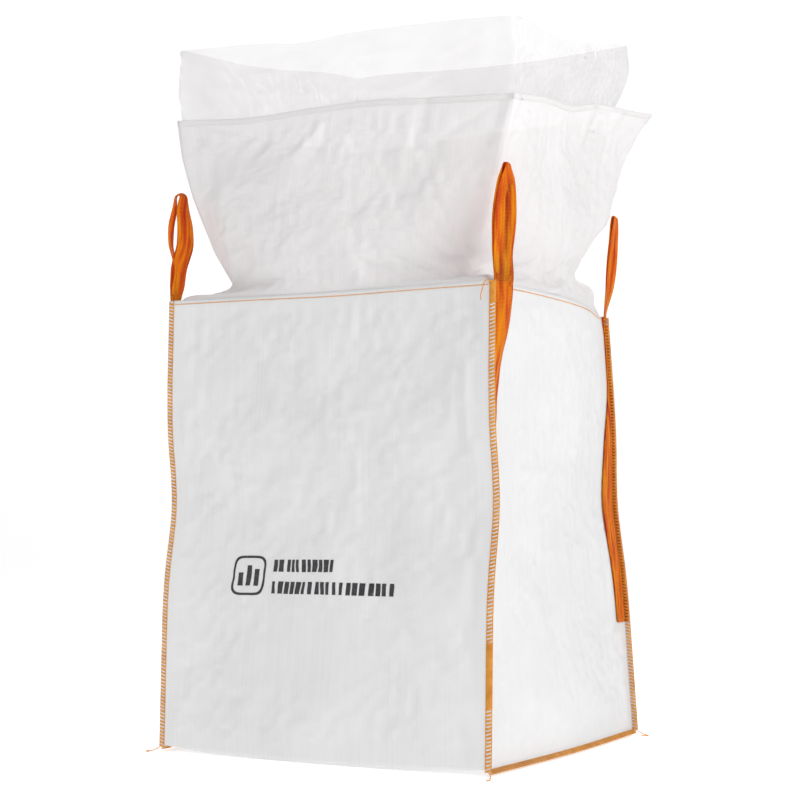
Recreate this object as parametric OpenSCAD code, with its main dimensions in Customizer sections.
// Open-top woven bulk bag: a U-shaped panel and two side panels sewn along outward
// flanges, a thin duffle skirt, a loose film liner and four webbing lifting loops.
// Millimetres, +Z up. The origin is the middle of the base, on the floor.
// The printed front panel faces -Y and the right side panel faces +X.
// Corners run front left, front right, back right, back left (0 to 3).

/* [Body] */
// Width of each body panel between its corner seams
panel_w = 910; // [800:5:1000]
// Height of the seam that joins the skirt to the body
body_h = 1140; // [1000:10:1300]
// Height of the body's top edge above the skirt seam
top_lap = 10; // [6:1:14]
// How far the horizontal fold crease pulls the front and back walls in
crease_in = 30; // [0:1:40]
// Height of that crease as a share of the body height
crease_at = 0.55; // [0.45:0.01:0.65]
// Outward belly of every wall just above the floor
belly = 22; // [0:1:35]
// Width of the sewn flange that stands out along each corner
flange_w = 15; // [12:1:18]
// Thickness of the woven fabric
fabric_t = 1; // [0.8:0.1:1.2]
// Height of the bottom side seams above the floor
seam_lift = 12; // [11:0.5:16]

/* [Skirt and liner] */
// Height of the skirt rim above the body seam at the front right corner
skirt_rise = 466; // [400:2:520]
// Thickness of the skirt fabric
skirt_t = 0.8; // [0.6:0.1:1]
// How far the liner stands above the skirt rim
liner_rise = 190; // [100:5:260]
// Thickness of the liner film
film_t = 0.6; // [0.5:0.1:0.8]
// Height of the sewn hem line below the skirt rim
hem_w = 15; // [10:1:20]

/* [Lifting loops] */
// Height of the loop tops above the body's top edge
loop_h = 280; // [240:5:320]
// Thickness of one strand of folded webbing in a loop
strand_t = 3.6; // [3:0.2:4.4]
// Thickness of one flat webbing leg
leg_t = 1.8; // [1.4:0.1:2.2]
// Height of the legs' lower ends above the floor
leg_end_z = 308; // [250:5:340]

/* [Thread] */
// Diameter of the loose thread chains at the seam ends
tail_d = 2.4; // [2:0.2:3]

/* [Hidden] */
PLACES = ["front_left", "front_right", "back_right", "back_left"];

WHITE = [0.94, 0.94, 0.95];
SHEER = [0.88, 0.88, 0.9];
FILM = [0.93, 0.93, 0.96, 0.5];
ORANGE = [0.92, 0.5, 0.08];
THREAD = [0.96, 0.66, 0.3];

SX = [-1, 1, 1, -1];            // which way each corner lies in X
SY = [-1, -1, 1, 1];            // and in Y
PARTNER = [1, 0, 3, 2];         // the other end of each corner's U-panel wall

// How far each body corner has drifted at the top seam from above the base corner
TOP_DRIFT = [[30, -13], [9, 13], [-74, -11], [-53, -37]];
// Outward bulge of the front, right, back and left walls along the top seam
TOP_BULGE = [-22, 56, 30, 36];
// How flat each wall stays next to its corners; webbing stiffens the side panels there
WALL_BEND = [1, 1.5, 1, 1.5];
// Corners of the pinched neck just above the seam
NECK = [[-286, -380, 1182], [345, -300, 1192], [330, 312, 1262], [-300, 290, 1228]];
NECK_BULGE = [92, 95, 90, 92];
// Corners of the skirt rim; heights are above the front right one
RIM = [[-402, -497, -4], [499, -371, 0], [505, 487, 132], [-400, 405, 74]];
RIM_BULGE = [-8, -18, -10, -12];
// How sharply each corner opens from the neck to the rim
FLARE = [1.9, 1.7, 1.12, 1.5];
// Corners of the liner rim; heights are above the skirt rim plus liner_rise
LINER_RIM = [[-397, -492, 3], [494, -368, -1], [464, 464, -4], [-395, 400, 0]];

per_side = 10;                  // surface columns on each wall
ply_gap = 0.25;                 // air between two sewn plies
skirt_in = 2.2;                 // skirt surface inside the wall surface
liner_in = 7.5;                 // liner surface inside the wall surface
top_z = body_h + top_lap;
lap_z = body_h - 12;            // bottom edge of the skirt, lapped inside the body
// Heights of the wall rows: low down in millimetres, above that as shares of the height
WALL_Z = concat([18, 42, 80, 140, 220, leg_end_z],
  [for (u = [0.36, 0.42, 0.475, 0.525, 0.56, 0.61, 0.7, 0.8, 0.91]) u * body_h], lap_z);
edge_lift = 5;                  // cloth stands straight this far above the top edge
BASE_V = [for (i = [1:9]) i / 10];  // base rows from front to back

// Loop widths, eye gaps, outward lean; legs' widths at the top and at the end
LOOP_W = [32, 50, 32, 40];
LOOP_GAP = [34, 26, 24, 26];
LOOP_LEAN = [-1.5, 3.7, 5, 2];
LEG_TOP_W = [32, 50, 32, 40];
LEG_END_W = [14, 14, 62, 62];
LEG_TAPER_Z = [890, 890, 850, 850];
leg_gap = 0.5;                  // air between a leg and what it lies on
leg_start = 5.5;                // legs' distance from the corner, clear of the overlock
hinge_z = top_z + 2;
hinge_gap = 2.5;                // hinge line outside the outer leg
loop_in = 0.5;                  // loop's outer face inside the hinge line

// Centre lines of the loose thread chains
TAIL_FRONT_LEFT = [[-469, -458, 9], [-472, -460, 8], [-475, -462, 6.5], [-478, -464, 5],
  [-481, -465, 3.5], [-484, -466, 2.4], [-487, -467, 1.8], [-490, -468, 1.5],
  [-493, -470, 1.5], [-495, -473, 1.5], [-496, -476, 1.5], [-495, -479, 1.5],
  [-492, -481, 1.5], [-489, -482, 1.5], [-486, -482, 1.5], [-483, -481, 1.5]];
TAIL_FRONT_RIGHT = [[469, -458, 9], [471, -461, 8], [473, -464, 6.5], [475, -467, 5],
  [477, -470, 3.5], [479, -473, 2.4], [481, -477, 1.8], [482, -481, 1.5],
  [483, -485, 1.5], [485, -489, 1.5], [487, -493, 1.5], [489, -497, 1.5],
  [490, -501, 1.5], [490, -505, 1.5], [489, -509, 1.5], [488, -513, 1.5]];
TAIL_BACK_RIGHT = [[469, 458, 9], [473, 457, 8], [477, 456, 6.5], [481, 455, 5],
  [485, 454, 3.5], [489, 453, 2.4], [493, 451, 1.8], [497, 449, 1.5],
  [501, 446, 1.5], [504, 443, 1.5], [506, 439, 1.5], [505, 435, 1.5],
  [502, 432, 1.5], [498, 430, 1.5], [494, 429, 1.5], [490, 429, 1.5]];
TAIL_TOP = [[473, -444, 1146], [470, -447, 1148], [466, -449, 1149], [462, -450, 1149],
  [458, -451, 1147], [455, -451, 1144], [453, -451, 1140], [452, -451, 1136],
  [451, -451, 1132], [450, -451, 1128], [449, -451, 1124], [447, -451, 1120],
  [446, -451, 1116], [446, -451, 1112], [446, -451, 1108], [447, -451, 1104]];

// ---- vectors ----
function flat(p) = [p.x, p.y, 0];
function unit(v) = v / norm(v);
function mix(a, b, f) = a + (b - a) * f;
function bell(x, centre, width) = exp(-pow((x - centre) / width, 2));
function ease(f) = let (g = max(0, min(1, f))) g * g * (3 - 2 * g);
function out_of(a, b) = let (d = unit(flat(b - a))) [d.y, -d.x, 0];

// ---- the bag's surface, ring by ring ----
// A point on the wall from corner a to corner b, bulged outward; e under 1 rounds the
// corners and e over 1 flattens the wall next to them
function wall_pt(a, b, bulge, t, e) =
  mix(a, b, t) + out_of(a, b) * bulge * pow(max(0, 4 * t * (1 - t)), e);
function ring(corners, bulges, bend) =
  [for (s = [0:3], i = [0:per_side - 1])
    wall_pt(corners[s], corners[(s + 1) % 4], bulges[s], i / per_side, bend[s])];
function even(e) = [e, e, e, e];

// Body corner c at height z: straight from base to top, pulled in at the crease
function body_corner(c, z) = let (u = z / body_h)
  [SX[c] * panel_w / 2 + TOP_DRIFT[c].x * u,
   SY[c] * (panel_w / 2 - crease_in * bell(u, crease_at, 0.13)) + TOP_DRIFT[c].y * u, z];
function body_corners(z) = [for (c = [0:3]) body_corner(c, z)];
function body_bulge(s, z) = let (u = z / body_h)
  TOP_BULGE[s] * ease((u - 0.55) / 0.45) + belly * (0.4 + 0.6 * bell(u, 0.1, 0.09)) * ease(1.3 - 2 * u);
function body_bulges(z) = [for (s = [0:3]) body_bulge(s, z)];
function body_pt(s, t, z) =
  wall_pt(body_corner(s, z), body_corner((s + 1) % 4, z), body_bulge(s, z), t, WALL_BEND[s]);
// The same on the flat strip between two surface columns, for what is sewn to the wall
function on_wall(s, t, z) = let (k = min(floor(t * per_side), per_side - 1))
  mix(body_pt(s, k / per_side, z), body_pt(s, (k + 1) / per_side, z), t * per_side - k);

// Skirt: over the shoulder to the neck, then open to the rim
function rim_corner(c) = RIM[c] + [0, 0, body_h + skirt_rise];
function shoulder_corner(c, f, lift) = let (top = body_corner(c, top_z + edge_lift))
  [mix(top.x, NECK[c].x, f), mix(top.y, NECK[c].y, f), mix(top.z, NECK[c].z, lift)];
function flare_corner(c, k) = let (rim = rim_corner(c), pull = pow(1 - k, FLARE[c]))
  [mix(rim.x, NECK[c].x, pull), mix(rim.y, NECK[c].y, pull), mix(NECK[c].z, rim.z, k)];
function liner_rim_corner(c) = [LINER_RIM[c].x, LINER_RIM[c].y,
  LINER_RIM[c].z + rim_corner(c).z + liner_rise];

SHOULDER = [[0.4, 0.3], [0.78, 0.62]];
FLARE_K = [0, 0.08, 0.18, 0.3, 0.45, 0.6, 0.8, 1];
shoulder_rows = [for (f = SHOULDER)
  ring([for (c = [0:3]) shoulder_corner(c, f[0], f[1])],
       [for (s = [0:3]) mix(body_bulge(s, top_z), NECK_BULGE[s], f[0])],
       [for (s = [0:3]) mix(WALL_BEND[s], 0.8, f[0])])];
flare_rows = [for (k = FLARE_K)
  ring([for (c = [0:3]) flare_corner(c, k)],
       [for (s = [0:3]) mix(NECK_BULGE[s], RIM_BULGE[s], ease(k * 1.15))], even(0.8))];
body_rows = [for (z = concat(WALL_Z, top_z, top_z + edge_lift))
  ring(body_corners(z), body_bulges(z), WALL_BEND)];
standing_rows = [for (f = [0.3, 0.65, 1])
  ring([for (c = [0:3]) mix(rim_corner(c), liner_rim_corner(c), f)],
       [for (s = [0:3]) mix(RIM_BULGE[s], 10, f)], even(0.9))];
skirt_rows = concat([for (r = [3:-1:1]) body_rows[len(body_rows) - r]], shoulder_rows, flare_rows);

// ---- thin solids from grids of points ----
// Outward normal of grid point (i, j); wrap joins the last column to the first
function grid_normal(g, i, j, wrap) = let (
  rows = len(g), cols = len(g[0]),
  j0 = wrap ? (j + cols - 1) % cols : max(j - 1, 0),
  j1 = wrap ? (j + 1) % cols : min(j + 1, cols - 1))
  unit(cross(g[i][j1] - g[i][j0], g[min(i + 1, rows - 1)][j] - g[max(i - 1, 0)][j]));
function shift_grid(g, d, wrap) = [for (i = [0:len(g) - 1])
  [for (j = [0:len(g[0]) - 1]) g[i][j] + grid_normal(g, i, j, wrap) * d]];
// The two triangles of a quad given anticlockwise seen from outside
function quad(a, b, c, d) = [[a, c, b], [a, d, c]];

// Sheet of thickness t behind the outer grid g; cap closes the first row into a floor
module sheet(g, t, wrap = false, cap = false) {
  rows = len(g);
  cols = len(g[0]);
  span = wrap ? cols : cols - 1;
  n = rows * cols;
  cells = [for (i = [0:rows - 2], j = [0:span - 1]) let (
    k = (j + 1) % cols, a = i * cols + j, b = i * cols + k, d = a + cols, c = b + cols)
    each concat(quad(a, b, c, d), quad(a + n, d + n, c + n, b + n))];
  top = (rows - 1) * cols;
  rims = [for (j = [0:span - 1]) let (k = (j + 1) % cols)
    each concat(quad(top + j, top + k, top + k + n, top + j + n),
                cap ? [] : quad(k, j, j + n, k + n))];
  edges = wrap ? [] : [for (i = [0:rows - 2]) let (a = i * cols, z = a + cols - 1)
    each concat(quad(a, a + cols, a + cols + n, a + n), quad(z + cols, z, z + n, z + cols + n))];
  floors = cap ? [[for (j = [0:cols - 1]) j], [for (j = [cols - 1:-1:0]) j + n]] : [];
  polyhedron([for (side = [g, shift_grid(g, -t, wrap)], row = side) each row],
             concat(cells, rims, edges, floors), convexity = 10);
}

// Solid swept through frames [origin, p, q]; profile is anticlockwise in (p, q)
module sweep(profile, frames, closed = false) {
  rings = len(frames);
  m = len(profile);
  sides = [for (r = [0:closed ? rings - 1 : rings - 2], k = [0:m - 1]) let (
    s = (r + 1) % rings, l = (k + 1) % m)
    each quad(r * m + k, r * m + l, s * m + l, s * m + k)];
  ends = closed ? [] : [[for (k = [0:m - 1]) k], [for (k = [m - 1:-1:0]) (rings - 1) * m + k]];
  polyhedron([for (f = frames, v = profile) f[0] + v[0] * f[1] + v[1] * f[2]],
             concat(sides, ends), convexity = 6);
}

// ---- the two sewn plies and the directions of their flanges ----
// Along the U-panel wall, out past corner c, and the way into the bag from that wall
function flange_dir(c, z) = unit(body_corner(c, z) - body_corner(PARTNER[c], z));
function inward(c, z) = -out_of(body_corner(c < 2 ? 0 : 2, z), body_corner(c < 2 ? 1 : 3, z));
ply_pitch = fabric_t + ply_gap;
side_back = ply_pitch + fabric_t;   // side panel's outer face behind the U-panel's
// The bottom flanges point out and down
base_flange = [flange_w * 0.72, 0, -(seam_lift - 2.5)];
function base_tip(sx) = [sx * base_flange.x, 0, base_flange.z];
function base_up(sx) = unit([-sx * base_flange.z, 0, base_flange.x]);

// U-panel: front wall, base and back wall in one length of fabric
fold_r = 4;
WIDTH_T = [for (i = [per_side:-1:0]) i / per_side];
function base_z(t) = seam_lift * pow(2 * t - 1, 4);
function wall_row(s, z) = let (
  right = s == 0 ? 1 : 2, left = s == 0 ? 0 : 3)
  concat([body_corner(right, z) + flange_dir(right, z) * flange_w],
         [for (t = WIDTH_T) body_pt(s, s == 0 ? t : 1 - t, z)],
         [body_corner(left, z) + flange_dir(left, z) * flange_w]);
// Base point at share t from left to right and v from front to back
function base_pt(t, v) = let (
  c = body_corners(seam_lift), z = seam_lift,
  front = body_pt(0, t, z), back = body_pt(2, 1 - t, z),
  right = body_pt(1, v, z), left = body_pt(3, 1 - v, z),
  p = mix(front, back, v) + mix(left, right, t) - mix(mix(c[0], c[1], t), mix(c[3], c[2], t), v))
  [p.x, p.y, base_z(t)];
function base_row(v, shift, lift, drop) = concat(
  [base_pt(1, v) + shift + [0, 0, lift] + mix([flange_w, 0, 0], base_tip(1), drop)],
  [for (t = WIDTH_T) base_pt(t, v) + shift + [0, 0, lift]],
  [base_pt(0, v) + shift + [0, 0, lift] + mix([-flange_w, 0, 0], base_tip(-1), drop)]);
function fold_rows(v, into) = [
  base_row(v, [0, 0, 0], fold_r, 0),
  base_row(v, [0, into * fold_r * 0.3, 0], fold_r * 0.3, 0.5),
  base_row(v, [0, into * fold_r, 0], 0, 1)];
u_rows = concat(
  [for (z = concat([top_z], [for (i = [len(WALL_Z) - 1:-1:0]) WALL_Z[i]])) wall_row(0, z)],
  fold_rows(0, 1),
  [for (v = BASE_V) base_row(v, [0, 0, 0], 0, 1)],
  [for (i = [2:-1:0]) fold_rows(1, -1)[i]],
  [for (z = concat(WALL_Z, [top_z])) wall_row(2, z)]);

module u_panel() {
  color(WHITE) sheet(u_rows, fabric_t);
}

// Side panel on wall s, its edges turned out behind the U-panel's flanges
function side_corner(s, c, z) = let (
  along = on_wall(s, c == s ? 0.1 : 0.9, z) - body_corner(c, z))
  body_corner(c, z) + along * side_back / (along * inward(c, z));
function side_tip(c, z) = body_corner(c, z) + inward(c, z) * side_back + flange_dir(c, z) * flange_w;
function side_row(s, z) = let (a = s, b = (s + 1) % 4)
  concat([side_tip(a, z), side_corner(s, a, z)],
         [for (i = [1:per_side - 1]) body_pt(s, i / per_side, z)],
         [side_corner(s, b, z), side_tip(b, z)]);
foot_gap = 0.4;                 // side wall's lower edge above the base's own edge
FOOT_DROP = [-0.2, 0.07, 1];      // the bottom flange fades out towards the corner flanges
function side_rows(s) = let (
  z0 = seam_lift + side_back + foot_gap, sx = s == 1 ? 1 : -1,
  tip = base_tip(sx) + base_up(sx) * side_back - [0, 0, side_back + foot_gap],
  foot = side_row(s, z0), last = len(foot) - 1)
  concat([[for (j = [0:last]) foot[j] + tip * FOOT_DROP[min(j, last - j, 2)]]],
         [foot], [for (z = concat(WALL_Z, [top_z])) side_row(s, z)]);

module side_panel(s) {
  color(WHITE) sheet(side_rows(s), fabric_t);
}

module top_skirt() {
  color(SHEER) sheet(shift_grid(skirt_rows, -skirt_in, true), skirt_t, wrap = true);
}

// Liner: follows the walls, shoulder and skirt from inside, closed by a flat floor
liner_floor_z = 15;
floor_ring = [for (p = body_rows[0])
  [p.x * 0.96, p.y * 0.96, liner_floor_z]];
liner_rows = concat([for (i = [0:len(body_rows) - 1]) if (i != len(WALL_Z)) body_rows[i]],
                    shoulder_rows, flare_rows, standing_rows);  // none at the top edge itself
liner_walls = shift_grid(liner_rows, -liner_in, true);
module inner_liner() {
  color(FILM) sheet(concat([floor_ring], [for (i = [1:len(liner_walls) - 1]) liner_walls[i]]),
                    film_t, wrap = true, cap = true);
}

// ---- sewing ----
wrap_t = 0.75;                  // thread standing on each side of the flange
wrap_from = 3;                  // start of the overlock, out from the corner
ply_stack = side_back;
OVERLOCK = [[wrap_from, -ply_gap - wrap_t], [flange_w + ply_gap + wrap_t, -ply_gap - wrap_t],
  [flange_w + ply_gap + wrap_t, ply_stack + ply_gap + wrap_t],
  [wrap_from, ply_stack + ply_gap + wrap_t], [wrap_from, ply_stack + ply_gap],
  [flange_w + ply_gap, ply_stack + ply_gap], [flange_w + ply_gap, -ply_gap],
  [wrap_from, -ply_gap]];
CHAIN = [[0.8, -1.5], [2.1, -1.5], [2.1, -0.35], [0.8, -0.35]];
SEAM_Z = concat(30, [for (z = WALL_Z) if (z > 30) z], body_h);

function seam_frames(c) = let (
  up = [for (z = SEAM_Z) [body_corner(c, z), flange_dir(c, z), inward(c, z)]],
  last = len(up) - 1)
  SX[c] * SY[c] < 0 ? up : [for (i = [last:-1:0]) up[i]];
module corner_overlock(c) {
  color(THREAD) sweep(OVERLOCK, seam_frames(c));
}
module corner_stitch(c) {
  color(THREAD) sweep(CHAIN, seam_frames(c));
}

// Bottom side seam; its frames run along the base edge from one corner to the other
base_len = norm(base_flange);
module base_overlock(sx) {
  edge = [[wrap_from, -ply_gap - wrap_t], [base_len + ply_gap + wrap_t, -ply_gap - wrap_t],
    [base_len + ply_gap + wrap_t, ply_stack + 0.3 + wrap_t],
    [wrap_from, ply_stack + 0.3 + wrap_t], [wrap_from, ply_stack + 0.3],
    [base_len + ply_gap, ply_stack + 0.3], [base_len + ply_gap, -ply_gap], [wrap_from, -ply_gap]];
  frames = [for (v = concat(0.03, BASE_V, 0.97)) [base_pt(sx > 0 ? 1 : 0, sx > 0 ? 1 - v : v),
                             base_tip(sx) / base_len, base_up(sx)]];
  color(THREAD) sweep(edge, frames);
}

// Chain stitch that joins skirt and body, broken where the webbing legs cross it
THREAD_BEAD = [[-0.6, 0.3], [0.6, 0.3], [0.6, 1.4], [-0.6, 1.4]];
module skirt_seam_stitch() {
  color(THREAD) for (s = [0:3]) {
    clear = s % 2 == 0 ? 0.006 : 0.08;
    sweep(THREAD_BEAD, [for (i = [0:per_side]) let (t = max(clear, min(1 - clear, i / per_side)))
      [on_wall(s, t, body_h), [0, 0, 1],
       out_of(body_corner(s, body_h), body_corner((s + 1) % 4, body_h))]]);
  }
}

// Stitch line of the hem, on the outside of the skirt
module hem_stitch() {
  g = shift_grid(skirt_rows, -skirt_in, true);
  last = len(g) - 1;
  color(SHEER) sweep([[-0.5, 0.4], [0.5, 0.4], [0.5, 1.1], [-0.5, 1.1]],
    [for (j = [0:len(g[0]) - 1]) let (up = g[last][j] - g[last - 1][j])
      [g[last][j] - unit(up) * hem_w, unit(up), grid_normal(g, last, j, true)]], closed = true);
}

// ---- webbing ----
function leg_w(c, z) = mix(LEG_TOP_W[c], LEG_END_W[c], ease((top_z - z) / (top_z - LEG_TAPER_Z[c])));
LEG_Z = [for (z = concat(WALL_Z, top_z)) if (z >= leg_end_z) z];
// Point on the side wall next to corner c, at distance d from it and lifted off by gap
function leg_pt(c, d, z, gap) = let (
  s = SX[c] > 0 ? 1 : 3, a = body_corner(s, z), b = body_corner((s + 1) % 4, z),
  f = d / norm(b - a), t = s == c ? f : 1 - f)
  on_wall(s, t, z) + out_of(a, b) * gap;
// Strip on the side wall between distances d0 and d1; columns keep the wall's order
function leg_grid(c, gap, zs, d0, d1) = let (first = c == 1 || c == 3)
  [for (z = zs) [for (i = [0:3]) let (f = first ? i / 3 : 1 - i / 3)
    leg_pt(c, mix(d0, d1 < 0 ? d0 + leg_w(c, z) : d1, f), z, gap)]];

module leg(c, layer) {
  color(ORANGE) sheet(leg_grid(c, (layer + 1) * (leg_gap + leg_t), LEG_Z, leg_start, -1), leg_t);
}
module leg_stitch(c) {
  rows = [for (z = LEG_Z) if (z < body_h - 40) z];
  color(THREAD) for (d = [leg_start + 2.5, leg_start + 10])
    sheet(leg_grid(c, leg_stack + 1, rows, d, d + 1.4), 0.7);
}

// Standing loop: a lens-shaped strap, flat across Y, on a hinge line at its foot
eye_z = [for (i = [0:20]) i / 20];
function eye_half(c, f) = LOOP_GAP[c] / 2 * pow(sin(180 * pow(f, 1.15)), 0.8);
module loop_outline(c) {
  rise = loop_h - strand_t;
  outer = [for (f = eye_z) [eye_half(c, f) + strand_t, f * rise]];
  crown = [for (a = [15:15:165]) [strand_t * cos(a), rise + strand_t * sin(a)]];
  inner = [for (i = [1:19]) let (f = eye_z[i]) [eye_half(c, f), f * rise]];
  left = [for (i = [20:-1:0]) [-outer[i].x, outer[i].y]];
  left_in = [for (i = [18:-1:0]) [-inner[i].x, inner[i].y]];
  difference() {
    polygon(concat(outer, crown, left));
    polygon(concat(inner, left_in));
  }
}
// The loop folds along the top end of its leg: the middle of that line and its turn about Z
leg_stack = 2 * (leg_gap + leg_t);
function fold_end(c, d) = leg_pt(c, d, top_z, leg_stack + hinge_gap);
function hinge_pos(c) = mix(fold_end(c, leg_start), fold_end(c, leg_start + LOOP_W[c]), 0.5)
  + [0, 0, hinge_z - top_z];
function fold_turn(c) = let (d = fold_end(c, leg_start + LOOP_W[c]) - fold_end(c, leg_start))
  atan2(SY[c] * d.x, -SY[c] * d.y);
module lifting_loop(c) {
  foot = 2;                     // loop's foot above the hinge line
  color(ORANGE)
    translate(hinge_pos(c)) rotate([0, 0, fold_turn(c)]) rotate([0, SX[c] * LOOP_LEAN[c], 0])
      translate([-SX[c] * (strand_t + loop_in), LOOP_W[c] / 2, foot])
        rotate([90, 0, 0])
          linear_extrude(LOOP_W[c]) loop_outline(c);
}

// ---- loose thread chains ----
// Frames along a route, each square to it
function route_frames(p) = [for (i = [0:len(p) - 1]) let (
  d = unit(p[min(i + 1, len(p) - 1)] - p[max(i - 1, 0)]),
  side = unit(cross(abs(d.z) > 0.9 ? [0, 1, 0] : [0, 0, 1], d)))
  [p[i], side, cross(d, side)]];
ROUND = [for (a = [0:45:315]) [cos(a), sin(a)] * tail_d / 2];
module thread_tail(route) {
  color(THREAD) sweep(ROUND, route_frames(route));
}

u_panel();
side_panel(3);  // side_panel_left
side_panel(1);  // side_panel_right
top_skirt();
inner_liner();
for (c = [0:3]) {
  corner_overlock(c);
  corner_stitch(c);
  leg(c, 0);
  leg(c, 1);
  leg_stitch(c);
  lifting_loop(c);
}
base_overlock(-1);  // base_overlock_left
base_overlock(1);  // base_overlock_right
skirt_seam_stitch();
hem_stitch();
thread_tail(TAIL_FRONT_LEFT);  // thread_tail_front_left
thread_tail(TAIL_FRONT_RIGHT);  // thread_tail_front_right
thread_tail(TAIL_BACK_RIGHT);  // thread_tail_back_right
thread_tail(TAIL_TOP);  // thread_tail_top
